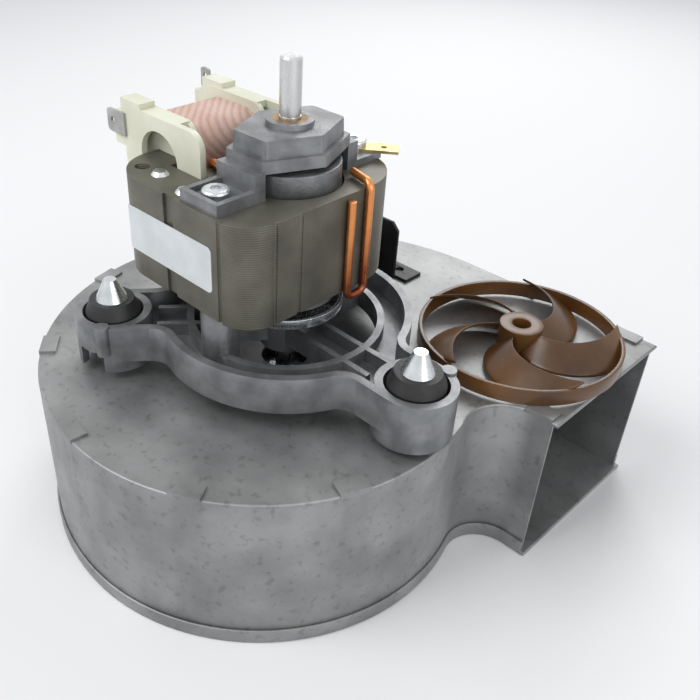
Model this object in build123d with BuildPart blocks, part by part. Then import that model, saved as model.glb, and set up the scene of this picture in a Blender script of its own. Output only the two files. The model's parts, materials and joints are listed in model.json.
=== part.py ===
"""Flue-gas fan: sheet-steel scroll, rubber-hung motor carrier, shaded-pole motor and a cooling fan.

Millimetres, +Z up. The shaft turns about Z, the base stands on Z = 0 and the air leaves along +X.
"""
import os
from math import asin, cos, degrees, radians, sin

from build123d import *

# ---- driving dimensions ----
SHEET = 0.8            # thickness of the scroll wall and its tabs
PLATE = 1.0            # thickness of the top and bottom plates
HOUSING_H = 54.0       # base to the top plate's upper face
SCROLL_R = 63.0        # shaft to the lip on the outlet side
SCROLL_STEP = 5.25     # the spiral's four arcs are centred on a square of this half side
OUTLET_X = 78.5        # shaft to the outlet face
OUTLET_Y = 32.1        # shaft to the outlet's near wall
TONGUE_R = 12.0        # concave corner between scroll and outlet
LIP_H = 5.0            # upstand of the bottom plate outside the wall
INLET_R = 31.0         # bore of the inlet collar
INLET_LEN = 8.0        # height of the inlet collar
SHAFT_R = 3.0
SHAFT_FREE = 16.2      # shaft above the upper bracket's boss
STUD_R = 52.2          # shaft to each rubber mount
STUD_ANGLES = {"left": 230.4, "right": 358.6, "rear": 114.5}
CARRIER_LIFT = 9.0     # top plate to the carrier's floor
CARRIER_RIM = 9.0      # height of the carrier's rim above the underside of its floor
CARRIER_R = 38.5       # round middle of the carrier
CARRIER_OPEN_R = 28.0  # its opening
TOWER_R = 11.5         # each rubber mount's socket, outside
TOWER_WALL = 2.4
STACK_LIFT = 11.7      # carrier's rim to the laminated stack
STACK_H = 30.0
STACK_X = 19.2         # half length of the rotor frame
STACK_FRONT = 33.0     # shaft to the stack's label side
STACK_REAR = 30.0      # shaft to the stack's other side
FRONT_R = 10.3         # the frame's corner on the label side
REAR_R = 17.0          # the frame's other corner
YOKE_LEN = 26.0        # joint to the far end of the coil yoke
YOKE_CORNER_R = 14.0
LIMB_W = 12.0          # width of the yoke's limb inside the coil
ROTOR_R = 14.9
AIR_GAP = 0.5          # rotor to stator
SCREW_Y = 26.0         # shaft to each bracket screw
FLANGE_FRONT = 19.5    # shaft to the bobbin's outer cheek on the label side
FLANGE_REAR = 16.5     # and on the other side
CHEEK_GAP = 6.0        # outer face of the outer cheek to the winding
BOSS_R = 6.6
BEARING_R = 5.0
IMPELLER_R = 54.0
IMPELLER_H = 34.0
IMPELLER_ROOF = 8.0    # top plate's underside to the impeller's back plate
IMPELLER_EYE_R = 41.0
BLADES = 24
FAN_AT = (47.5, 58.9)  # where the loose cooling fan lies
FAN_R = 32.4
FAN_RING_H = 5.2
FAN_BLADES = 5

# ---- clearances ----
RUN_GAP = 0.05         # shaft in its bearings, radial
SLIP_GAP = 0.1         # bobbin tube over the yoke limb
WIRE_GAP = 0.15        # shading ring to the frame
FREE_GAP = 0.8         # between parts that must not touch

# ---- places that follow from them ----
CARRIER_FLOOR = HOUSING_H + CARRIER_LIFT
CARRIER_TOP = CARRIER_FLOOR + CARRIER_RIM
STACK_Z = CARRIER_TOP + STACK_LIFT
STACK_TOP = STACK_Z + STACK_H
STATOR_BORE_R = ROTOR_R + AIR_GAP
SPLIT_X = 5.2 - STACK_X
YOKE_X = SPLIT_X - YOKE_LEN
LIMB_X = YOKE_X + LIMB_W
SKIRT_Z = STACK_TOP + 7.1     # underside of the bracket's hood
CAP_Z = SKIRT_Z + 3.4
BOSS_Z = CAP_Z + 4.8
SHAFT_TOP = BOSS_Z + 1.4 + SHAFT_FREE
IMPELLER_TOP = HOUSING_H - PLATE - IMPELLER_ROOF
IMPELLER_LOW = IMPELLER_TOP - IMPELLER_H
SHAFT_LOW = IMPELLER_TOP - 9.0
DISH_Z = CARRIER_TOP + 2.0
OUTLET_MID = (OUTLET_Y + SCROLL_R + 6 * SCROLL_STEP) / 2
OUTLET_W = SCROLL_R + 6 * SCROLL_STEP - OUTLET_Y
BASE = (Align.CENTER, Align.CENTER, Align.MIN)


def post(x, y, z, r, h):
    """Upright cylinder that stands on height z."""
    with Locations((x, y, z)):
        Cylinder(r, h, align=BASE)


def hole(x, y, z, r, h):
    """Upright round hole that starts at height z."""
    with Locations((x, y, z)):
        Cylinder(r, h, align=BASE, mode=Mode.SUBTRACT)


def block(x0, x1, y0, y1, z0, z1, mode=Mode.ADD):
    """Box between two corners."""
    with Locations(((x0 + x1) / 2, (y0 + y1) / 2, z0)):
        Box(x1 - x0, y1 - y0, z1 - z0, align=BASE, mode=mode)


def scroll_face(grow):
    """The housing's outline, moved outwards by grow, closed by a straight outlet end."""
    e = SCROLL_STEP
    r1 = SCROLL_R + e
    r2 = r1 + 2 * e
    r3 = r2 + 2 * e
    rise = OUTLET_Y - TONGUE_R + e
    phi = degrees(asin(rise / (r1 + TONGUE_R)))
    tongue = (-e + (r1 + TONGUE_R) * cos(radians(phi)), OUTLET_Y - TONGUE_R)
    low = OUTLET_Y - grow
    high = e + r3 + grow
    with BuildSketch() as face:
        with BuildLine():
            CenterArc((e, e), r3 + grow, 90, 90)
            CenterArc((-e, e), r2 + grow, 180, 90)
            CenterArc((-e, -e), r1 + grow, 270, 90 + phi)
            CenterArc(tongue, TONGUE_R - grow, 180 + phi, -90 - phi)
            Polyline((tongue[0], low), (OUTLET_X, low), (OUTLET_X, high), (e, high))
        make_face()
    return face.sketch


def tab_places():
    """Fold-over tabs on the scroll wall: x, y and the direction that points outwards."""
    e = SCROLL_STEP
    r1 = SCROLL_R + e
    arcs = [((-e, -e), r1, (12.0, -21.0, -59.3)), ((-e, e), r1 + 2 * e, (-95.6, -129.8, -165.0)),
            ((e, e), r1 + 4 * e, (165.0, 141.0))]
    places = []
    for (cx, cy), r, angles in arcs:
        for a in angles:
            places.append((cx + r * cos(radians(a)), cy + r * sin(radians(a)), a))
    high = e + r1 + 4 * e
    places += [(72.0, OUTLET_Y, -90.0), (69.0, high, 90.0), (30.0, high, 90.0)]
    return places


TAB_W = 9.0
TAB_L = 5.2
OUTER = scroll_face(0)
WALL_OUT = scroll_face(-SHEET)
WALL_IN = scroll_face(-2 * SHEET)
TABS = tab_places()
STUDS = {k: (STUD_R * cos(radians(a)), STUD_R * sin(radians(a)), a) for k, a in STUD_ANGLES.items()}

# ---- housing ----
with BuildPart() as top_plate:
    with BuildSketch(Plane.XY.offset(HOUSING_H - PLATE)):
        add(WALL_OUT)
        Circle(7.5, mode=Mode.SUBTRACT)
    extrude(amount=PLATE)
    rim = top_plate.faces().sort_by(Axis.Z)[-1].outer_wire().edges()
    fillet(rim, 0.6)
    for x, y, a in TABS:
        with Locations(Location((x, y, HOUSING_H - PLATE), (0, 0, a))):
            Box(2 * SHEET + 1.6, TAB_W, 2 * PLATE, align=BASE, mode=Mode.SUBTRACT)
top_plate.part.label = "top_plate"

with BuildPart() as scroll_wall:
    with BuildSketch(Plane.XY.offset(PLATE)):
        add(WALL_OUT)
        add(WALL_IN, mode=Mode.SUBTRACT)
        with Locations((OUTLET_X, OUTLET_MID)):
            Rectangle(3.0, OUTLET_W - 2 * SHEET, mode=Mode.SUBTRACT)
    extrude(amount=HOUSING_H - 2 * PLATE)
    for x, y, a in TABS:
        with Locations(Location((x, y, HOUSING_H - PLATE), (0, 0, a)) * Location((-1.2, 0, 0))):
            Box(0.8, TAB_W, PLATE + SHEET, align=BASE)
        with Locations(Location((x, y, HOUSING_H), (0, 0, a)) * Location((-0.8 - TAB_L / 2, 0, 0))):
            Box(TAB_L, TAB_W, SHEET, align=BASE)
scroll_wall.part.label = "scroll_wall"

with BuildPart() as bottom_plate:
    with BuildSketch():
        add(OUTER)
        Circle(INLET_R + 1.2, mode=Mode.SUBTRACT)
        with PolarLocations(41.0, 4, start_angle=45):
            Circle(2.2, mode=Mode.SUBTRACT)
    extrude(amount=PLATE)
    with BuildSketch(Plane.XY.offset(PLATE)):
        add(OUTER)
        add(WALL_OUT, mode=Mode.SUBTRACT)
        with Locations((OUTLET_X, OUTLET_MID)):
            Rectangle(3.0, OUTLET_W + 10.0, mode=Mode.SUBTRACT)
    extrude(amount=LIP_H - PLATE)
    with BuildSketch(Plane.XZ) as collar:
        with BuildLine():
            Line((INLET_R, 0), (INLET_R, INLET_LEN))
            Line((INLET_R, INLET_LEN), (INLET_R + 2.6, INLET_LEN + 0.8))
            Polyline((INLET_R + 2.6, INLET_LEN + 0.8), (INLET_R + 2.6, INLET_LEN - 0.1),
                     (INLET_R + 1.0, INLET_LEN - 0.9), (INLET_R + 1.0, PLATE), (INLET_R + 1.4, PLATE),
                     (INLET_R + 1.4, 0), (INLET_R, 0))
        make_face()
    revolve(axis=Axis.Z)
bottom_plate.part.label = "bottom_plate"

BRACKET_X = -8.0       # near end of the upright
BRACKET_L = 38.0
BRACKET_H = 22.0
BRACKET_T = 1.2
BRACKET_Y = STUDS["rear"][1] + TOWER_R + 3.1
with BuildPart() as rear_bracket:
    with BuildSketch(Plane.XZ.offset(-BRACKET_Y)):
        with Locations((BRACKET_X - BRACKET_L / 2, HOUSING_H + BRACKET_H / 2)):
            Rectangle(BRACKET_L, BRACKET_H)
    extrude(amount=-BRACKET_T)
    corners = rear_bracket.edges().filter_by(Axis.Y).group_by(Axis.Z)[-1]
    chamfer(corners, 3.0)
    block(BRACKET_X - BRACKET_L, BRACKET_X + 5, BRACKET_Y + BRACKET_T, BRACKET_Y + 10,
          HOUSING_H, HOUSING_H + BRACKET_T)
    hole(BRACKET_X - 2.0, BRACKET_Y + 6, HOUSING_H, 1.5, 2)
    hole(BRACKET_X - BRACKET_L + 6.0, BRACKET_Y + 6, HOUSING_H, 1.5, 2)
rear_bracket.part.label = "rear_bracket"

# ---- rubber mounts ----
CONE_Z = CARRIER_FLOOR + 13.0


def make_pin(x, y):
    """Headed stud riveted to the top plate."""
    with BuildPart() as pin:
        post(x, y, HOUSING_H, 4.8, 1.6)
        post(x, y, HOUSING_H + 1.6, 2.5, CONE_Z - HOUSING_H - 1.6)
        with Locations((x, y, CONE_Z)):
            Cone(4.8, 1.9, 6.2, align=BASE)
    return pin.part


def make_grommet(x, y):
    """Waisted rubber bush that grips the carrier's floor."""
    with BuildPart() as grommet:
        post(x, y, CARRIER_FLOOR - 5.5, 7.2, 5.5)
        post(x, y, CARRIER_FLOOR, 6.0, 2.5)
        post(x, y, CARRIER_FLOOR + 2.5, 8.2, 6.5)
        with Locations((x, y, CARRIER_FLOOR + 9.0)):
            Cone(8.2, 6.6, CONE_Z - CARRIER_FLOOR - 9.0, align=BASE)
        hole(x, y, HOUSING_H, 2.5, CONE_Z - HOUSING_H)
    return grommet.part


mount_parts = {}
for side, (sx, sy, sa) in STUDS.items():
    mount_parts["mount_pin_" + side] = make_pin(sx, sy)
    mount_parts["grommet_" + side] = make_grommet(sx, sy)

# ---- motor carrier ----
RIM_LOW = CARRIER_FLOOR - 2.5
TOWER_LOW = CARRIER_FLOOR - 6.5


def carrier_face(grow):
    """Round middle with an arm to each rubber mount."""
    with BuildSketch() as face:
        Circle(CARRIER_R + grow)
        for cx, cy, a in STUDS.values():
            with Locations(Location((cx / 2, cy / 2, 0), (0, 0, a))):
                Rectangle(STUD_R, 2 * (TOWER_R + grow))
            with Locations((cx, cy)):
                Circle(TOWER_R + grow)
        near = CARRIER_R + grow
        inner = face.vertices().filter_by(lambda v: abs((v.X ** 2 + v.Y ** 2) ** 0.5 - near) < 0.01)
        fillet(inner, 6.0 - grow)
    return face.sketch


CARRIER_OUT = carrier_face(0)
CARRIER_IN = carrier_face(-TOWER_WALL)

with BuildPart() as motor_carrier:
    with BuildSketch(Plane.XY.offset(RIM_LOW)):
        add(CARRIER_OUT)
        add(CARRIER_IN, mode=Mode.SUBTRACT)
    extrude(amount=CARRIER_TOP - RIM_LOW)
    with BuildSketch(Plane.XY.offset(CARRIER_FLOOR)):
        add(CARRIER_OUT)
        Circle(CARRIER_OPEN_R, mode=Mode.SUBTRACT)
    extrude(amount=2.5)
    with BuildSketch(Plane.XY.offset(CARRIER_FLOOR)):
        Circle(CARRIER_OPEN_R + 2.2)
        Circle(CARRIER_OPEN_R, mode=Mode.SUBTRACT)
    extrude(amount=6.5)
    for cx, cy, a in STUDS.values():
        turn = Location((0, 0, CARRIER_FLOOR), (0, 0, a))
        with Locations(turn * Location((7.0, 0, 0))):
            Box(CARRIER_OPEN_R - 6.0, 11.0, 2.5, align=(Align.MIN, Align.CENTER, Align.MIN))
        for s in (-4.6, 4.6):
            with Locations(turn * Location((5.0, s, 0))):
                Box(CARRIER_R - 4.5, 1.8, 6.5, align=(Align.MIN, Align.CENTER, Align.MIN))
        with BuildSketch(Plane.XY.offset(TOWER_LOW)):
            with Locations((cx, cy)):
                Circle(TOWER_R)
                Circle(TOWER_R - TOWER_WALL, mode=Mode.SUBTRACT)
        extrude(amount=CARRIER_TOP - TOWER_LOW)
        for s in (-78, 78):
            u = radians(a + s)
            lug_x = cx + (TOWER_R - 0.5) * cos(u)
            lug_y = cy + (TOWER_R - 0.5) * sin(u)
            post(lug_x, lug_y, CARRIER_FLOOR, 2.2, CARRIER_RIM + 0.6)
        with Locations(Location((cx, cy, TOWER_LOW), (0, 0, a + 55))):
            Box(26.0, 8.5, CARRIER_FLOOR - TOWER_LOW,
                align=(Align.MIN, Align.CENTER, Align.MIN), mode=Mode.SUBTRACT)
        with BuildSketch(Plane.XY.offset(CARRIER_FLOOR + 2.5)):
            with Locations((cx, cy)):
                Circle(TOWER_R - TOWER_WALL)
        extrude(amount=CARRIER_RIM + 5, mode=Mode.SUBTRACT)
        hole(cx, cy, CARRIER_FLOOR - 1, 6.0, 6)
    post(0, 0, CARRIER_FLOOR - 3.0, BEARING_R + 3.0, DISH_Z - CARRIER_FLOOR + 3.0)
    hole(0, 0, CARRIER_FLOOR - 3.0, BEARING_R, DISH_Z - CARRIER_FLOOR + 3.0)
    for s in (-1, 1):
        post(0, s * SCREW_Y, CARRIER_FLOOR, 5.5, STACK_Z - CARRIER_FLOOR)
        hole(0, s * SCREW_Y, STACK_Z - 12.7, 2.0, 20)
motor_carrier.part.label = "motor_carrier"

with BuildPart() as lower_dish:
    post(0, 0, DISH_Z, 17.0, 0.8)
    with BuildSketch(Plane.XY.offset(DISH_Z + 0.8)):
        Circle(17.0)
        Circle(16.0, mode=Mode.SUBTRACT)
    extrude(amount=2.2)
    hole(0, 0, DISH_Z - 0.5, SHAFT_R + 1.2, 3)
lower_dish.part.label = "lower_dish"

# ---- stator ----
SIDES = ((-1, STACK_FRONT, FLANGE_FRONT), (1, STACK_REAR, FLANGE_REAR))
WINDOW_GAP = 2.2       # the frame stands back from the cheeks
with BuildPart() as stator_core:
    with BuildSketch(Plane.XY.offset(STACK_Z)) as lamination:
        with Locations((0, (STACK_REAR - STACK_FRONT) / 2)):
            Rectangle(2 * STACK_X, STACK_REAR + STACK_FRONT)
        ends = lamination.vertices().group_by(Axis.X)[-1].sort_by(Axis.Y)
        fillet(ends[0], FRONT_R)
        far = [v for v in lamination.vertices() if v.X > STACK_X - 0.01 and v.Y > STACK_REAR - 0.01]
        fillet(far, REAR_R)
        for s, side, cheek in SIDES:
            low = cheek - WINDOW_GAP
            with Locations((-STACK_X, s * (low + side + 1) / 2)):
                Rectangle(2 * (STACK_X + SPLIT_X), side + 1 - low, mode=Mode.SUBTRACT)
            with Locations((SPLIT_X + 2.0, s * side)):
                Rectangle(4.0, 1.6, mode=Mode.SUBTRACT)
            with Locations((0, s * SCREW_Y)):
                Circle(2.2, mode=Mode.SUBTRACT)
        with Locations((STACK_X - FRONT_R, -STACK_FRONT), (STACK_X, FRONT_R - STACK_FRONT),
                       (STACK_X, FRONT_R + 9.0 - STACK_FRONT), (STACK_X, STACK_REAR - REAR_R - 1.0)):
            Circle(0.7, mode=Mode.SUBTRACT)
        Circle(STATOR_BORE_R, mode=Mode.SUBTRACT)
    extrude(amount=STACK_H)
stator_core.part.label = "stator_core"

with BuildPart() as coil_yoke:
    with BuildSketch(Plane.XY.offset(STACK_Z)) as yoke:
        with Locations(((YOKE_X + SPLIT_X) / 2, (STACK_REAR - STACK_FRONT) / 2)):
            Rectangle(SPLIT_X - YOKE_X, STACK_REAR + STACK_FRONT)
        fillet(yoke.vertices().group_by(Axis.X)[0], YOKE_CORNER_R)
        with Locations(((LIMB_X + SPLIT_X) / 2 + 1, (FLANGE_REAR - FLANGE_FRONT) / 2)):
            Rectangle(SPLIT_X - LIMB_X + 2, FLANGE_REAR + FLANGE_FRONT + 2 * SLIP_GAP, mode=Mode.SUBTRACT)
        for s, side, cheek in SIDES:
            with Locations((YOKE_X + 7.5, s * (side - 7.0))):
                Circle(2.2, mode=Mode.SUBTRACT)
    extrude(amount=STACK_H)
coil_yoke.part.label = "coil_yoke"

with BuildPart() as stack_rivets:
    for s, side, cheek in SIDES:
        for x, inset in ((SPLIT_X - 10.7, 7.4), (SPLIT_X + 3.3, 5.0)):
            with Locations((x, s * (side - inset), STACK_TOP)):
                Cone(2.6, 1.8, 1.0, align=BASE)
            with Locations((x, s * (side - inset), STACK_Z - 1.0)):
                Cone(1.8, 2.6, 1.0, align=BASE)
stack_rivets.part.label = "stack_rivets"

with BuildPart() as rating_label:
    with BuildSketch(Plane.XZ.offset(STACK_FRONT)) as sticker:
        with Locations((SPLIT_X + 1.7, STACK_Z + 14.6)):
            Rectangle(36.4, 13.4)
        fillet(sticker.vertices().group_by(Axis.X)[-1], 1.6)
    extrude(amount=0.2)
rating_label.part.label = "rating_label"

# ---- coil ----
CHEEK_X0 = YOKE_X - 10.0
CHEEK_X1 = SPLIT_X - 0.4
COIL_X0 = CHEEK_X0 + 0.8
COIL_X1 = -STACK_X - 3.1
COIL_LOW = STACK_Z - 9.2
COIL_HIGH = STACK_TOP + 9.8
CHEEK_LOW = STACK_Z - 10.2
CHEEK_HIGH = STACK_TOP + 12.2
TUBE = 1.4             # wall of the bobbin's tube
LIMB_MID = (YOKE_X + LIMB_X) / 2
STACK_MID = STACK_Z + STACK_H / 2
WIND_FRONT = CHEEK_GAP - FLANGE_FRONT
WIND_REAR = FLANGE_REAR - CHEEK_GAP
with BuildPart() as bobbin:
    for s, side, cheek_y in SIDES:
        with BuildSketch(Plane.XZ.offset(-s * (cheek_y - 1.0))) as cheek:
            with Locations(((CHEEK_X0 + CHEEK_X1) / 2, (CHEEK_LOW + CHEEK_HIGH) / 2)):
                Rectangle(CHEEK_X1 - CHEEK_X0, CHEEK_HIGH - CHEEK_LOW)
            fillet(cheek.vertices(), 5.0)
            with Locations((LIMB_MID + 0.5, STACK_TOP)):
                Ellipse(8.5, 8.0, mode=Mode.SUBTRACT)
        extrude(amount=1.0, both=True)
        with BuildSketch(Plane.XZ.offset(-s * (cheek_y - CHEEK_GAP + 0.75))) as inner_cheek:
            with Locations(((CHEEK_X0 + COIL_X1) / 2, (CHEEK_LOW + CHEEK_HIGH) / 2)):
                Rectangle(COIL_X1 - CHEEK_X0, CHEEK_HIGH - CHEEK_LOW)
            fillet(inner_cheek.vertices(), 5.0)
        extrude(amount=0.75, both=True)
        lo, hi = sorted((s * (cheek_y - CHEEK_GAP + 0.5), s * (cheek_y - 0.5)))
        block(CHEEK_X0 + 8, COIL_X1 - 3, lo, hi, CHEEK_HIGH - 2, CHEEK_HIGH)
        lo, hi = sorted((s * (cheek_y - CHEEK_GAP + 0.5), s * cheek_y))
        block(CHEEK_X0 - 5, CHEEK_X0 + 3, lo, hi, CHEEK_HIGH - 13, CHEEK_HIGH - 3)
        block(CHEEK_X0 - 1, CHEEK_X0 + 8.4, lo, hi, CHEEK_HIGH - 4, CHEEK_HIGH + 1.6)
    block(YOKE_X - TUBE, LIMB_X + TUBE, WIND_FRONT, WIND_REAR, STACK_Z - TUBE, STACK_TOP + TUBE)
    block(YOKE_X - SLIP_GAP, LIMB_X + SLIP_GAP, -FLANGE_FRONT - 1, FLANGE_REAR + 1,
          STACK_Z - SLIP_GAP, STACK_TOP + SLIP_GAP, mode=Mode.SUBTRACT)
bobbin.part.label = "bobbin"

with BuildPart() as coil:
    with BuildSketch(Plane.XZ.offset(-WIND_REAR)) as winding:
        with Locations(((COIL_X0 + COIL_X1) / 2, (COIL_LOW + COIL_HIGH) / 2)):
            Rectangle(COIL_X1 - COIL_X0, COIL_HIGH - COIL_LOW)
        fillet(winding.vertices(), 8.0)
        with Locations((LIMB_MID, STACK_MID)):
            Rectangle(LIMB_W + 2 * TUBE, STACK_H + 2 * TUBE, mode=Mode.SUBTRACT)
    extrude(amount=WIND_REAR - WIND_FRONT)
coil.part.label = "coil"

with BuildPart() as terminal_left:
    with BuildSketch(Plane.XZ.offset(FLANGE_FRONT)) as blade:
        with Locations((CHEEK_X0 - 3.2, CHEEK_HIGH - 6.2)):
            Rectangle(8.6, 7.0)
        fillet(blade.vertices().group_by(Axis.X)[0], 1.5)
        with Locations((CHEEK_X0 - 4.8, CHEEK_HIGH - 6.0)):
            Circle(0.9, mode=Mode.SUBTRACT)
    extrude(amount=0.8)
terminal_left.part.label = "terminal_left"

with BuildPart() as terminal_right:
    with BuildSketch(Plane.XZ.offset(-FLANGE_REAR + 2.0)) as blade:
        with Locations((CHEEK_X0 - 3.0, CHEEK_HIGH + 0.2)):
            Rectangle(4.0, 6.4)
        fillet(blade.vertices().group_by(Axis.Z)[-1], 1.0)
        with Locations((CHEEK_X0 - 3.0, CHEEK_HIGH + 1.0)):
            Circle(0.9, mode=Mode.SUBTRACT)
    extrude(amount=0.8)
terminal_right.part.label = "terminal_right"

# ---- upper bracket, screws, earth tab, bearings ----
CAP = ((12.8, 0), (6.4, 15), (-6.4, 15), (-12.8, 0), (-6.4, -15), (6.4, -15))
FOOT_Z = STACK_TOP + 2.0
with BuildPart() as upper_bracket:
    with BuildSketch(Plane.XY.offset(SKIRT_Z)):
        with BuildLine():
            Polyline(*[(1.1 * x, 1.1 * y) for x, y in CAP], close=True)
        make_face()
    extrude(amount=3.4)
    with BuildSketch(Plane.XY.offset(CAP_Z)) as cap:
        with BuildLine():
            Polyline(*CAP, close=True)
        make_face()
        fillet(cap.vertices(), 1.5)
    extrude(amount=4.8, taper=4)
    post(0, 0, BOSS_Z, BOSS_R, 1.4)
    for s in (-1, 1):
        lo, hi = sorted((s * (STATOR_BORE_R + 0.2), s * (SCREW_Y - 6.5)))
        block(-7.5, 7.5, lo, hi, STACK_TOP, SKIRT_Z + 0.7)
        lo, hi = sorted((s * (SCREW_Y - 7.0), s * (SCREW_Y + 6.0 if s < 0 else STACK_REAR)))
        block(-7.5, 7.5, lo, hi, STACK_TOP, FOOT_Z)
        hole(0, s * SCREW_Y, STACK_TOP, 2.2, 4)
    block(-7.5, -5.7, -SCREW_Y - 6.0, -SCREW_Y + 7.0, FOOT_Z, FOOT_Z + 1.4)
    block(5.7, 7.5, -SCREW_Y - 6.0, -SCREW_Y + 7.0, FOOT_Z, FOOT_Z + 1.4)
    block(-7.5, 7.5, -SCREW_Y - 6.0, -SCREW_Y - 4.4, FOOT_Z, FOOT_Z + 1.4)
    hole(0, 0, SKIRT_Z - 1, BEARING_R, 14)
upper_bracket.part.label = "upper_bracket"

TAB_TURN = 36.0
with BuildPart() as earth_tab:
    with Locations(Location((0, SCREW_Y, FOOT_Z), (0, 0, TAB_TURN))):
        Cylinder(3.8, 0.8, align=BASE)
        Box(13.5, 6.3, 0.8, align=(Align.MIN, Align.CENTER, Align.MIN))
    hole(0, SCREW_Y, FOOT_Z, 2.2, 2)
    with Locations(Location((0, SCREW_Y, FOOT_Z), (0, 0, TAB_TURN)) * Location((9.0, 0, 0))):
        Cylinder(0.9, 2, align=BASE, mode=Mode.SUBTRACT)
earth_tab.part.label = "earth_tab"


def make_screw(y, seat):
    """Pan-head screw that clamps bracket, stack and carrier together."""
    with BuildPart() as screw:
        post(0, y, STACK_Z - 10.7, 2.0, seat - STACK_Z + 10.7)
        post(0, y, seat, 3.9, 2.2)
        fillet(screw.edges().sort_by(Axis.Z)[-1], 1.0)
        with BuildSketch(Plane.XY.offset(seat + 1.0)):
            with Locations((0, y)):
                RegularPolygon(1.7, 6)
        extrude(amount=3, mode=Mode.SUBTRACT)
    return screw.part


def make_bearing(z, h):
    """Sintered bush."""
    with BuildPart() as bush:
        post(0, 0, z, BEARING_R, h)
        hole(0, 0, z, SHAFT_R + RUN_GAP, h)
    return bush.part


motor_parts = {
    "screw_front": make_screw(-SCREW_Y, FOOT_Z),
    "screw_rear": make_screw(SCREW_Y, FOOT_Z + 0.8),
    "bearing_upper": make_bearing(SKIRT_Z + 0.2, BOSS_Z + 1.2 - SKIRT_Z),
    "bearing_lower": make_bearing(CARRIER_FLOOR - 1.0, DISH_Z - CARRIER_FLOOR + 1.0),
}

WIRE_R = 1.15
WIRE_X = STACK_X + WIRE_R + WIRE_GAP
WIRE_LOW = STACK_Z - 1.5
WIRE_HIGH = STACK_TOP + 1.6


def make_shading_ring():
    """Bent copper wire: up and down the frame's end, then over the top towards the pole."""
    with BuildPart() as ring:
        with BuildLine() as run:
            FilletPolyline((WIRE_X, 4.0, STACK_TOP - 1.7), (WIRE_X, 4.0, WIRE_LOW), (WIRE_X, 11.0, WIRE_LOW),
                           (WIRE_X, 11.0, WIRE_HIGH), (STACK_X - 7.6, 13.4, WIRE_HIGH), radius=2.4)
        with BuildSketch(Plane(origin=(WIRE_X, 4.0, STACK_TOP - 1.7), z_dir=(0, 0, -1))):
            Circle(WIRE_R)
        sweep()
    return ring.part


ring_front = make_shading_ring()
motor_parts["shading_ring_front"] = ring_front
motor_parts["shading_ring_rear"] = ring_front.rotate(Axis.Z, 180)

# ---- rotor ----
GROOVE_Z = BOSS_Z + 2.0
with BuildPart() as shaft:
    post(0, 0, SHAFT_LOW, SHAFT_R, SHAFT_TOP - SHAFT_LOW)
    chamfer(shaft.edges().sort_by(Axis.Z)[-1], 0.5)
    with BuildSketch(Plane.XY.offset(GROOVE_Z)):
        Circle(SHAFT_R + 1)
        Circle(SHAFT_R - 0.3, mode=Mode.SUBTRACT)
    extrude(amount=0.8, mode=Mode.SUBTRACT)
shaft.part.label = "shaft"


def make_ring(z, h, r_out, r_in):
    """Plain round ring about the shaft."""
    with BuildPart() as ring:
        post(0, 0, z, r_out, h)
        hole(0, 0, z, r_in, h)
    return ring.part


HUB_R = 8.0
CORE_Z = STACK_Z + 0.5
CORE_H = STACK_H - 1.0
rotor_parts = {
    "rotor_core": make_ring(CORE_Z, CORE_H, ROTOR_R, SHAFT_R),
    "end_ring_upper": make_ring(CORE_Z + CORE_H, 6.3, ROTOR_R - 0.3, 8.5),
    "end_ring_lower": make_ring(CORE_Z - 5.7, 5.7, ROTOR_R - 0.3, 8.5),
    "thrust_washer_upper": make_ring(SKIRT_Z - FREE_GAP, 0.7, BEARING_R - 0.4, SHAFT_R),
    "thrust_washer_lower": make_ring(DISH_Z + 0.4, 0.7, SHAFT_R + 1.0, SHAFT_R),
    "impeller_hub": make_ring(IMPELLER_TOP - 5.0, 10.0, HUB_R, SHAFT_R),
}

with BuildPart() as impeller_nut:
    with BuildSketch(Plane.XY.offset(IMPELLER_TOP - 8.4)):
        RegularPolygon(5.0, 6)
        Circle(SHAFT_R, mode=Mode.SUBTRACT)
    extrude(amount=3.4)
impeller_nut.part.label = "impeller_nut"

with BuildPart() as impeller:
    with BuildSketch(Plane.XY.offset(IMPELLER_TOP - 1.0)):
        Circle(IMPELLER_R)
        Circle(HUB_R, mode=Mode.SUBTRACT)
    extrude(amount=1.0)
    with BuildSketch(Plane.XY.offset(IMPELLER_LOW)):
        Circle(IMPELLER_R)
        Circle(IMPELLER_EYE_R, mode=Mode.SUBTRACT)
    extrude(amount=1.0)
    with BuildSketch(Plane.XY.offset(IMPELLER_LOW)):
        with BuildLine() as blade_line:
            RadiusArc((IMPELLER_EYE_R + 1.0, 0), (IMPELLER_R - 1.0, 4.0), 12.0)
        with PolarLocations(0, BLADES):
            with BuildSketch(mode=Mode.PRIVATE) as one_blade:
                trace(blade_line.edges(), 0.8)
            add(one_blade.sketch)
    extrude(amount=IMPELLER_TOP - IMPELLER_LOW)
impeller.part.label = "impeller"

# ---- loose cooling fan ----
FAN_HUB_R = 6.9
FAN_HUB_H = 8.0


def fan_section(r, chord, pitch, lead):
    """One cross-section of a fan blade, across the radius at distance r."""
    plane = Plane(origin=(r, lead, FAN_HUB_H / 2), x_dir=(0, 1, 0), z_dir=(1, 0, 0))
    with BuildSketch(plane) as section:
        Rectangle(chord, 1.1, rotation=pitch)
    return section.sketch


with BuildPart() as fan_blade:
    for r, chord, pitch, lead in ((4.5, 7.5, 48, 0.0), (18.0, 13.0, 34, 3.0), (33.5, 21.0, 20, 10.0)):
        add(fan_section(r, chord, pitch, lead))
    loft()
    Cylinder(FAN_R - 0.7, FAN_HUB_H, align=BASE, mode=Mode.INTERSECT)

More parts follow.
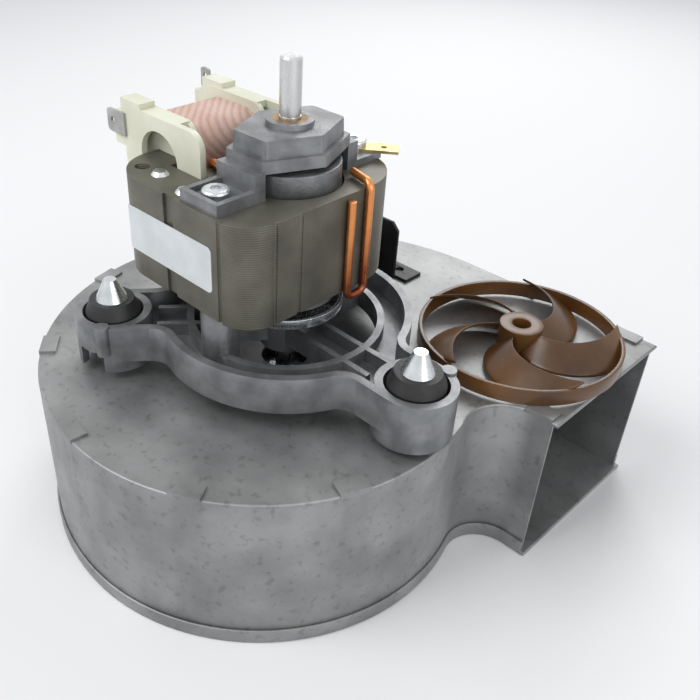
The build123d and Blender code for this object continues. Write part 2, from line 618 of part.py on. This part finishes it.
with BuildPart() as cooling_fan:
    with BuildSketch():
        Circle(FAN_R)
        Circle(FAN_R - 1.3, mode=Mode.SUBTRACT)
    extrude(amount=FAN_RING_H)
    post(0, 0, 0, FAN_HUB_R, FAN_HUB_H)
    for i in range(FAN_BLADES):
        add(fan_blade.part.rotate(Axis.Z, 18 + i * 360 / FAN_BLADES))
    hole(0, 0, -1, SHAFT_R - 0.05, 20)
    with BuildSketch(Plane.XY.offset(FAN_HUB_H - 2.0)):
        with PolarLocations(4.9, 3):
            SlotOverall(3.6, 1.3, rotation=90)
    extrude(amount=3, mode=Mode.SUBTRACT)
cooling_fan_at = cooling_fan.part.moved(Location((FAN_AT[0], FAN_AT[1], HOUSING_H + SHEET)))

# ---- files ----
os.makedirs("parts", exist_ok=True)
built = [top_plate, scroll_wall, bottom_plate, rear_bracket, motor_carrier, lower_dish, stator_core, coil_yoke,
         stack_rivets, rating_label, bobbin, coil, terminal_left, terminal_right, upper_bracket, earth_tab,
         shaft, impeller_nut, impeller]
named = {b.part.label: b.part for b in built}
named.update(mount_parts)
named.update(motor_parts)
named.update(rotor_parts)
named["cooling_fan"] = cooling_fan_at
for name, solid in named.items():
    solid.label = name
    export_step(solid, f"parts/{name}.step")
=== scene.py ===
# %% [markdown]
# # A flue-gas fan, finished in Blender
# The fan's measured model is loaded as a fixed frame: every piece already lies where it belongs,
# in metres, with the shaft along Z and the base on Z = 0. This lesson adds what a measured model
# lacks: finishes, rounded edges, and a cooling fan whose blades are curved in space.

# %% Load the frame
import bmesh
import bpy
import json
import math
from mathutils import Matrix, Vector


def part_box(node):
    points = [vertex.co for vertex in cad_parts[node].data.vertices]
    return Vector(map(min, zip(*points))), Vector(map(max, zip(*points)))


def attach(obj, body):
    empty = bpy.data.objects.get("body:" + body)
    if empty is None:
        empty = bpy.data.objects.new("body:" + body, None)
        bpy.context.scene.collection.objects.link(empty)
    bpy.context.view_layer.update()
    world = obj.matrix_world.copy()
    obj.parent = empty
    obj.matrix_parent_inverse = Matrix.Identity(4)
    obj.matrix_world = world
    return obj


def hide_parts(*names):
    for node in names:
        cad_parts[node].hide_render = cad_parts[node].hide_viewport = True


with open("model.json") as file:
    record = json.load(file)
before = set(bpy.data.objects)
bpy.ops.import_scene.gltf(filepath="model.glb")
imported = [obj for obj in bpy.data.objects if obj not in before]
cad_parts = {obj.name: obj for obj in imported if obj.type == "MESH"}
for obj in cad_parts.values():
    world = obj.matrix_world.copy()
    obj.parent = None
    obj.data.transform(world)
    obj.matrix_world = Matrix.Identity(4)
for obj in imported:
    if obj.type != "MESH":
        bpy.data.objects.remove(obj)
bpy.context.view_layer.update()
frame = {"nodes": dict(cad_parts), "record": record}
nodes = frame["nodes"]
print("pieces in the frame:", len(nodes))

# %% [markdown]
# ## Finishes
# Every finish starts from one Principled shader. Its colour comes from a soft cloud of noise
# between two tones, because no real surface has one flat colour. A second, finer noise drives
# roughness and a little bump. The noise reads Object coordinates, which are metres here, so a
# scale of 100 gives spots about a centimetre wide.

# %% A finish with two tones and a fine grain
def start_finish(name, metal, rough, **fixed):
    """A new material with its shader and an Object-coordinates node."""
    material = bpy.data.materials.new(name)
    material.use_nodes = True
    tree = material.node_tree
    shader = tree.nodes["Principled BSDF"]
    shader.inputs["Metallic"].default_value = metal
    shader.inputs["Roughness"].default_value = rough
    for socket, value in fixed.items():
        shader.inputs[socket.replace("_", " ")].default_value = value
    where = tree.nodes.new("ShaderNodeTexCoord")
    return material, tree, shader, where


def noise(tree, where, scale, detail=4.0, stretch=(1, 1, 1)):
    """Noise on Object coordinates, stretched along an axis if asked."""
    lay = tree.nodes.new("ShaderNodeMapping")
    lay.inputs["Scale"].default_value = stretch
    cloud = tree.nodes.new("ShaderNodeTexNoise")
    cloud.inputs["Scale"].default_value = scale
    cloud.inputs["Detail"].default_value = detail
    tree.links.new(where.outputs["Object"], lay.inputs["Vector"])
    tree.links.new(lay.outputs["Vector"], cloud.inputs["Vector"])
    return cloud


def ramp(tree, value, low, high, dark, light):
    """Turns a value into a colour between two tones."""
    node = tree.nodes.new("ShaderNodeValToRGB")
    node.color_ramp.elements[0].position = low
    node.color_ramp.elements[1].position = high
    node.color_ramp.elements[0].color = (*dark, 1)
    node.color_ramp.elements[1].color = (*light, 1)
    tree.links.new(value, node.inputs["Fac"])
    return node


def multiply(tree, shader, base, shade, amount):
    """Darkens a base colour by a second pattern and makes that the shader's colour."""
    blend = tree.nodes.new("ShaderNodeMix")
    blend.data_type = "RGBA"
    blend.blend_type = "MULTIPLY"
    blend.inputs["Factor"].default_value = amount
    tree.links.new(base.outputs["Color"], blend.inputs["A"])
    tree.links.new(shade.outputs["Color"], blend.inputs["B"])
    tree.links.new(blend.outputs["Result"], shader.inputs["Base Color"])


def bump(tree, shader, height, strength, distance):
    """Raises the surface by a height pattern, on top of any bump already there."""
    node = tree.nodes.new("ShaderNodeBump")
    node.inputs["Strength"].default_value = strength
    node.inputs["Distance"].default_value = distance
    tree.links.new(height, node.inputs["Height"])
    if shader.inputs["Normal"].is_linked:
        tree.links.new(shader.inputs["Normal"].links[0].from_socket, node.inputs["Normal"])
    tree.links.new(node.outputs["Normal"], shader.inputs["Normal"])
    return node


def spread(tree, shader, value, low, high):
    """Lets a pattern move the roughness between two limits."""
    node = tree.nodes.new("ShaderNodeMapRange")
    node.inputs["To Min"].default_value = low
    node.inputs["To Max"].default_value = high
    tree.links.new(value, node.inputs["Value"])
    tree.links.new(node.outputs["Result"], shader.inputs["Roughness"])


def two_tone(name, dark, light, metal, rough, cloud_scale, grain_scale, grain=0.1, depth=0.0002, swing=0.08,
             stretch=(1, 1, 1), **fixed):
    """The house recipe: two tones, a roughness that wanders, and a fine grain."""
    material, tree, shader, where = start_finish(name, metal, rough, **fixed)
    cloud = noise(tree, where, cloud_scale, 5.0, stretch)
    tone = ramp(tree, cloud.outputs["Fac"], 0.36, 0.64, dark, light)
    tree.links.new(tone.outputs["Color"], shader.inputs["Base Color"])
    fine = noise(tree, where, grain_scale, 3.0, stretch)
    spread(tree, shader, fine.outputs["Fac"], rough - swing, rough + swing)
    bump(tree, shader, fine.outputs["Fac"], grain, depth)
    return material


# %% [markdown]
# ### Aluminised sheet
# The scroll is folded from sheet steel dipped in an aluminium alloy. It is a satin grey with
# cloudy patches and small darker flecks. Two layers of noise are multiplied for that.

# %% Sheet, cast, zinc and other metals, one of them painted near-black as shade
def make_sheet():
    material, tree, shader, where = start_finish("aluminised_sheet", 0.72, 0.42)
    cloud = noise(tree, where, 55, 6.0)
    tone = ramp(tree, cloud.outputs["Fac"], 0.34, 0.66, (0.225, 0.228, 0.228), (0.335, 0.34, 0.34))
    fleck = noise(tree, where, 420, 5.0)
    spots = ramp(tree, fleck.outputs["Fac"], 0.30, 0.43, (0.70, 0.69, 0.67), (1.0, 1.0, 1.0))
    multiply(tree, shader, tone, spots, 0.75)
    spread(tree, shader, cloud.outputs["Fac"], 0.42, 0.58)
    bump(tree, shader, cloud.outputs["Fac"], 0.12, 0.0006)
    bump(tree, shader, fleck.outputs["Fac"], 0.10, 0.0002)
    return material


sheet = make_sheet()
# dark_sheet is painted shade and painted reflection: near-black on galvanised sheet that is dark only in shadow
# and where it mirrors the dark motor
dark_sheet = two_tone("dark_sheet", (0.008, 0.008, 0.009), (0.02, 0.02, 0.021), 0.3, 0.45, 60, 900, 0.2)
cast = two_tone("cast_alloy", (0.15, 0.156, 0.163), (0.25, 0.257, 0.265), 0.65, 0.43, 130, 1500,
                0.35, 0.0003, 0.09)
zinc = two_tone("zinc_plated_steel", (0.55, 0.58, 0.60), (0.70, 0.72, 0.74), 0.95, 0.26, 200, 1800, 0.1)
ground = two_tone("ground_steel", (0.52, 0.52, 0.52), (0.66, 0.66, 0.66), 1.0, 0.27, 260, 2600,
                  0.15, 0.0001, 0.06, (1, 1, 0.15))
brass = two_tone("brass", (0.42, 0.31, 0.14), (0.58, 0.45, 0.22), 0.9, 0.38, 300, 2000, 0.1)
bronze = two_tone("sintered_bronze", (0.20, 0.14, 0.08), (0.34, 0.24, 0.13), 0.7, 0.55, 400, 2500, 0.3)
tinned = two_tone("tinned_terminal", (0.36, 0.36, 0.35), (0.50, 0.50, 0.49), 0.85, 0.42, 220, 1600, 0.1)
print("metals made")

# %% [markdown]
# ### Laminated steel
# The stator is a pile of thin stampings, dark olive from their oxide. The edges of the sheets
# show as fine lines round the sides only. A wave along Z does that by itself, because Z doesn't
# change across the flat top.

# %% Laminations, copper, rubber, plastics and tape
def make_laminations():
    material, tree, shader, where = start_finish("laminated_steel", 0.45, 0.46)
    cloud = noise(tree, where, 90, 5.0)
    tone = ramp(tree, cloud.outputs["Fac"], 0.33, 0.67, (0.105, 0.10, 0.078), (0.165, 0.158, 0.125))
    sheets = tree.nodes.new("ShaderNodeTexWave")
    sheets.wave_type = "BANDS"
    sheets.bands_direction = "Z"
    sheets.inputs["Scale"].default_value = 480
    sheets.inputs["Distortion"].default_value = 0.4
    tree.links.new(where.outputs["Object"], sheets.inputs["Vector"])
    lines = ramp(tree, sheets.outputs["Fac"], 0.0, 0.5, (0.62, 0.62, 0.62), (1.0, 1.0, 1.0))
    multiply(tree, shader, tone, lines, 0.8)
    spread(tree, shader, cloud.outputs["Fac"], 0.38, 0.55)
    bump(tree, shader, sheets.outputs["Fac"], 0.25, 0.0002)
    return material


COPPER_DARK_Z = 0.080    # below this the wire is at its darkest and above this it is at its brightest
COPPER_BRIGHT_Z = 0.112  # and above this it is bright


def make_copper():
    material, tree, shader, where = start_finish("copper", 0.85, 0.3)
    split = tree.nodes.new("ShaderNodeSeparateXYZ")
    tree.links.new(where.outputs["Object"], split.inputs["Vector"])
    height = tree.nodes.new("ShaderNodeMapRange")
    height.inputs["From Min"].default_value = COPPER_DARK_Z
    height.inputs["From Max"].default_value = COPPER_BRIGHT_Z
    tree.links.new(split.outputs["Z"], height.inputs["Value"])
    cloud = noise(tree, where, 350, 4.0)
    total = tree.nodes.new("ShaderNodeMath")
    total.operation = "MULTIPLY_ADD"
    total.inputs[1].default_value = 0.5
    tree.links.new(cloud.outputs["Fac"], total.inputs[0])
    tree.links.new(height.outputs["Result"], total.inputs[2])
    tone = ramp(tree, total.outputs["Value"], 0.3, 1.1, (0.24, 0.055, 0.028), (0.70, 0.27, 0.09))
    tree.links.new(tone.outputs["Color"], shader.inputs["Base Color"])
    spread(tree, shader, cloud.outputs["Fac"], 0.2, 0.42)
    return material


def make_tape():
    material, tree, shader, where = start_finish("winding_tape", 0.0, 0.75)
    cloud = noise(tree, where, 70, 4.0)
    tone = ramp(tree, cloud.outputs["Fac"], 0.35, 0.65, (0.56, 0.36, 0.29), (0.68, 0.49, 0.42))
    weave = tree.nodes.new("ShaderNodeTexWave")
    weave.wave_type = "BANDS"
    weave.bands_direction = "DIAGONAL"
    weave.inputs["Scale"].default_value = 210
    weave.inputs["Distortion"].default_value = 1.5
    weave.inputs["Detail"].default_value = 2.0
    weave.inputs["Detail Scale"].default_value = 3.0
    tree.links.new(where.outputs["Object"], weave.inputs["Vector"])
    lines = ramp(tree, weave.outputs["Fac"], 0.1, 0.7, (0.84, 0.78, 0.76), (1.0, 1.0, 1.0))
    multiply(tree, shader, tone, lines, 1.0)
    bump(tree, shader, weave.outputs["Fac"], 0.4, 0.0003)
    return material


def make_fan_plastic():
    material, tree, shader, where = start_finish("brown_plastic", 0.0, 0.3, IOR=1.5)
    shader.inputs["Transmission Weight"].default_value = 0.35
    cloud = noise(tree, where, 60, 3.0)
    tone = ramp(tree, cloud.outputs["Fac"], 0.3, 0.7, (0.085, 0.034, 0.009), (0.19, 0.082, 0.018))
    tree.links.new(tone.outputs["Color"], shader.inputs["Base Color"])
    spread(tree, shader, cloud.outputs["Fac"], 0.24, 0.38)
    return material


laminations = make_laminations()
copper = make_copper()
tape = make_tape()
fan_plastic = make_fan_plastic()
rubber = two_tone("rubber", (0.010, 0.010, 0.011), (0.022, 0.022, 0.023), 0.0, 0.55, 150, 1400, 0.3)
cream = two_tone("cream_plastic", (0.66, 0.66, 0.52), (0.76, 0.76, 0.62), 0.0, 0.42, 60, 900, 0.1, 0.0002, 0.06)
label_stock = two_tone("label_stock", (0.58, 0.61, 0.62), (0.66, 0.69, 0.70), 0.0, 0.4, 120, 900, 0.05)
washer = two_tone("washer_plastic", (0.012, 0.012, 0.012), (0.03, 0.03, 0.03), 0.0, 0.5, 150, 900, 0.1)
print("other finishes made")

# %% [markdown]
# ## Dressing the measured pieces
# Each measured piece keeps its shape and takes the finish named in its record. On the larger
# ones a Weld joins the loose triangles, then a narrow Bevel rounds the edges so that they catch
# the light, as pressed and cast edges do.

# %% Finishes and rounded edges
# dark_sheet is a painted shade finish on plain galvanised sheet, not a dark metal
FINISH = {
    "aluminised_sheet": sheet, "dark_sheet": dark_sheet, "cast_alloy": cast, "zinc_plated_steel": zinc,
    "rubber": rubber, "laminated_steel": laminations, "label_stock": label_stock, "cream_plastic": cream,
    "winding_tape": tape, "tinned_terminal": tinned, "brass": brass,
    "sintered_bronze": bronze, "copper": copper,
    "ground_steel": ground, "washer_plastic": washer, "brown_plastic": fan_plastic,
}
EDGE = {"motor_carrier": 0.0006, "upper_bracket": 0.0007, "bobbin": 0.0003, "coil": 0.0003,
        "stator_core": 0.0001, "coil_yoke": 0.0001, "rear_bracket": 0.0003, "scroll_wall": 0.0002,
        "bottom_plate": 0.0003, "lower_dish": 0.0002, "end_ring_upper": 0.0004}


WELD_REACH = 0.000005
SHARP = math.radians(40)


def round_edges(piece, width):
    """Welds a piece's triangles and rounds its sharp edges."""
    join = piece.modifiers.new("join", "WELD")
    join.merge_threshold = WELD_REACH
    edge = piece.modifiers.new("edges", "BEVEL")
    edge.width = width
    edge.segments = 2
    edge.limit_method = "ANGLE"
    edge.angle_limit = SHARP
    edge.use_clamp_overlap = True
    edge.harden_normals = False


for part in frame["record"]["subparts"]:
    piece = nodes[part["node"]]
    piece.data.materials.clear()
    piece.data.materials.append(FINISH[part["material_slot"]])
    if part["node"] in EDGE:
        round_edges(piece, EDGE[part["node"]])

# %% [markdown]
# ## The cooling fan
# The loose fan is one thin moulding. Its ring and hub are spun from a small profile. Each blade
# starts as a flat grid, whose points are laid along a curve that sweeps round as it leaves the
# hub. The sheet is then given a thickness. Its place and size come from the measured fan.

# %% A ring, a hub and five swept blades
BLADES = 5
RING_WALL = 0.0013
RING_HEIGHT = 0.0052
HUB_RADIUS = 0.0069
BORE_RADIUS = 0.00295
BLADE_WALL = 0.0009
ROOT_OVERLAP = 0.0006    # how far a blade runs into the hub
FAN_EDGE = 0.0002
FAN_SHARP = math.radians(50)
BLADE_ROOT = 0.0085      # width at the hub
BLADE_TIP = 0.018        # width at the ring
BLADE_SWEEP = math.radians(65)
FIRST_BLADE = math.radians(-30)


def spin_band(shape, inner, outer, low, high):
    """A ring of rectangular section, spun about Z."""
    profile = ((inner, 0, low), (outer, 0, low), (outer, 0, high), (inner, 0, high))
    corners = [shape.verts.new(p) for p in profile]
    edges = [shape.edges.new((corners[i], corners[(i + 1) % 4])) for i in range(4)]
    bmesh.ops.spin(shape, geom=corners + edges, cent=(0, 0, 0), axis=(0, 0, 1), dvec=(0, 0, 0),
                   angle=math.tau, steps=72, use_merge=True)


def swept_blade(shape, start, reach, height):
    """A thin blade from hub to ring. Its height stays the same, so it is flatter where it is wider."""
    climb = height - 2 * BLADE_WALL
    grid = bmesh.ops.create_grid(shape, x_segments=14, y_segments=8, size=1.0)["verts"]
    faces = {face for vert in grid for face in vert.link_faces}
    for vert in grid:
        out = (vert.co.x + 1) / 2
        across = vert.co.y
        radius = HUB_RADIUS - ROOT_OVERLAP + out * (reach - HUB_RADIUS + ROOT_OVERLAP)
        width = BLADE_ROOT + out * (BLADE_TIP - BLADE_ROOT)
        pitch = math.asin(climb / width)
        turn = start + BLADE_SWEEP * out ** 1.1 + across * width * math.cos(pitch) / (2 * radius)
        rise = (height + across * climb) / 2
        vert.co = (radius * math.cos(turn), radius * math.sin(turn), rise)
    bmesh.ops.solidify(shape, geom=list(faces), thickness=BLADE_WALL)


def make_cooling_fan():
    low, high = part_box("cooling_fan")
    reach = (high[0] - low[0]) / 2
    hub_height = high[2] - low[2]
    shape = bmesh.new()
    spin_band(shape, reach - RING_WALL, reach, 0, RING_HEIGHT)
    spin_band(shape, BORE_RADIUS, HUB_RADIUS, 0, hub_height)
    for i in range(BLADES):
        swept_blade(shape, FIRST_BLADE + i * math.tau / BLADES, reach - RING_WALL / 2, hub_height)
    bmesh.ops.recalc_face_normals(shape, faces=shape.faces)
    for face in shape.faces:
        face.smooth = True
    middle = ((low[0] + high[0]) / 2, (low[1] + high[1]) / 2, low[2])
    bmesh.ops.translate(shape, verts=shape.verts, vec=middle)
    mesh = bpy.data.meshes.new("ringed_fan")
    shape.to_mesh(mesh)
    shape.free()
    fan = bpy.data.objects.new("ringed_fan", mesh)
    bpy.context.scene.collection.objects.link(fan)
    mesh.materials.append(fan_plastic)
    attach(fan, "cooling_fan")
    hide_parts("cooling_fan")
    edge = fan.modifiers.new("edges", "BEVEL")
    edge.width = FAN_EDGE
    edge.segments = 2
    edge.limit_method = "ANGLE"
    edge.angle_limit = FAN_SHARP
    return fan


make_cooling_fan()
print("cooling fan made")

# %% [markdown]
# ## Floor, light and camera
# The fan stands on a plain pale floor. Three soft lamps and a pale world light it evenly. Light
# Path shows pure white to the camera, and to reflections and rays that pass through plastic.
# Only the diffuse light keeps the world's softer level, so the white also brightens the metals.

# %% Floor and world
FLOOR_HALF = 3.0
FLOOR_Z = -0.0002
WORLD_LEVEL = 0.5


def make_floor():
    mesh = bpy.data.meshes.new("floor")
    shape = bmesh.new()
    bmesh.ops.create_grid(shape, x_segments=1, y_segments=1, size=FLOOR_HALF)
    bmesh.ops.translate(shape, vec=(0, 0, FLOOR_Z), verts=shape.verts)
    shape.to_mesh(mesh)
    shape.free()
    floor = bpy.data.objects.new("floor", mesh)
    bpy.context.scene.collection.objects.link(floor)
    material = bpy.data.materials.new("floor_white")
    material.use_nodes = True
    material.node_tree.nodes["Principled BSDF"].inputs["Base Color"].default_value = (0.86, 0.86, 0.86, 1)
    material.node_tree.nodes["Principled BSDF"].inputs["Roughness"].default_value = 0.9
    mesh.materials.append(material)
    return floor


def make_world():
    world = bpy.data.worlds.new("studio")
    bpy.context.scene.world = world
    world.use_nodes = True
    tree = world.node_tree
    light = tree.nodes["Background"]
    light.inputs["Color"].default_value = (0.92, 0.95, 1.0, 1)
    light.inputs["Strength"].default_value = WORLD_LEVEL
    white = tree.nodes.new("ShaderNodeBackground")
    white.inputs["Color"].default_value = (1, 1, 1, 1)
    path = tree.nodes.new("ShaderNodeLightPath")
    seen = path.outputs["Is Camera Ray"]
    for ray in ("Is Glossy Ray", "Is Transmission Ray"):
        either = tree.nodes.new("ShaderNodeMath")
        either.operation = "MAXIMUM"
        tree.links.new(seen, either.inputs[0])
        tree.links.new(path.outputs[ray], either.inputs[1])
        seen = either.outputs["Value"]
    pick = tree.nodes.new("ShaderNodeMixShader")
    tree.links.new(seen, pick.inputs["Fac"])
    tree.links.new(light.outputs["Background"], pick.inputs[1])
    tree.links.new(white.outputs["Background"], pick.inputs[2])
    tree.links.new(pick.outputs["Shader"], tree.nodes["World Output"].inputs["Surface"])


make_floor()
make_world()


# %% Lamps and camera
def soft_lamp(name, spot, aim, size, power):
    lamp = bpy.data.lights.new(name, "AREA")
    lamp.shape = "SQUARE"
    lamp.size = size
    lamp.energy = power
    holder = bpy.data.objects.new(name, lamp)
    bpy.context.scene.collection.objects.link(holder)
    holder.location = spot
    holder.rotation_euler = (Vector(aim) - Vector(spot)).to_track_quat("-Z", "Y").to_euler()


AIM = (0, 0, 0.05)       # a point low in the middle of the fan
soft_lamp("key_lamp", (-0.25, -0.55, 0.75), AIM, 0.5, 4.5)
soft_lamp("fill_lamp", (0.75, -0.10, 0.45), AIM, 0.5, 2.2)
soft_lamp("rim_lamp", (-0.35, 0.65, 0.60), AIM, 0.4, 2.5)


def make_camera(eye, yaw, pitch, roll, focal, middle):
    """A camera by its place, its turns and its focal length in frame widths of 700."""
    ahead = Vector((-math.sin(yaw) * math.cos(pitch), math.cos(yaw) * math.cos(pitch), -math.sin(pitch)))
    right = Vector((math.cos(yaw), math.sin(yaw), 0))
    up = right.cross(ahead)
    across = math.cos(roll) * right + math.sin(roll) * up
    over = -math.sin(roll) * right + math.cos(roll) * up
    turn = Matrix((across, over, -ahead)).transposed().to_4x4()
    lens = bpy.data.cameras.new("camera")
    lens.sensor_width = 36
    lens.lens = focal * 36 / 700
    lens.shift_x = (350 - middle[0]) / 700
    lens.shift_y = (middle[1] - 350) / 700
    lens.clip_start = 0.01
    holder = bpy.data.objects.new("camera", lens)
    bpy.context.scene.collection.objects.link(holder)
    holder.matrix_world = Matrix.Translation(eye) @ turn
    bpy.context.scene.camera = holder


make_camera((0.15484, -0.15060, 0.20484), 0.7922, 0.6019, 0.0256, 829.03, (290, 347))
bpy.context.scene.view_settings.view_transform = "Standard"
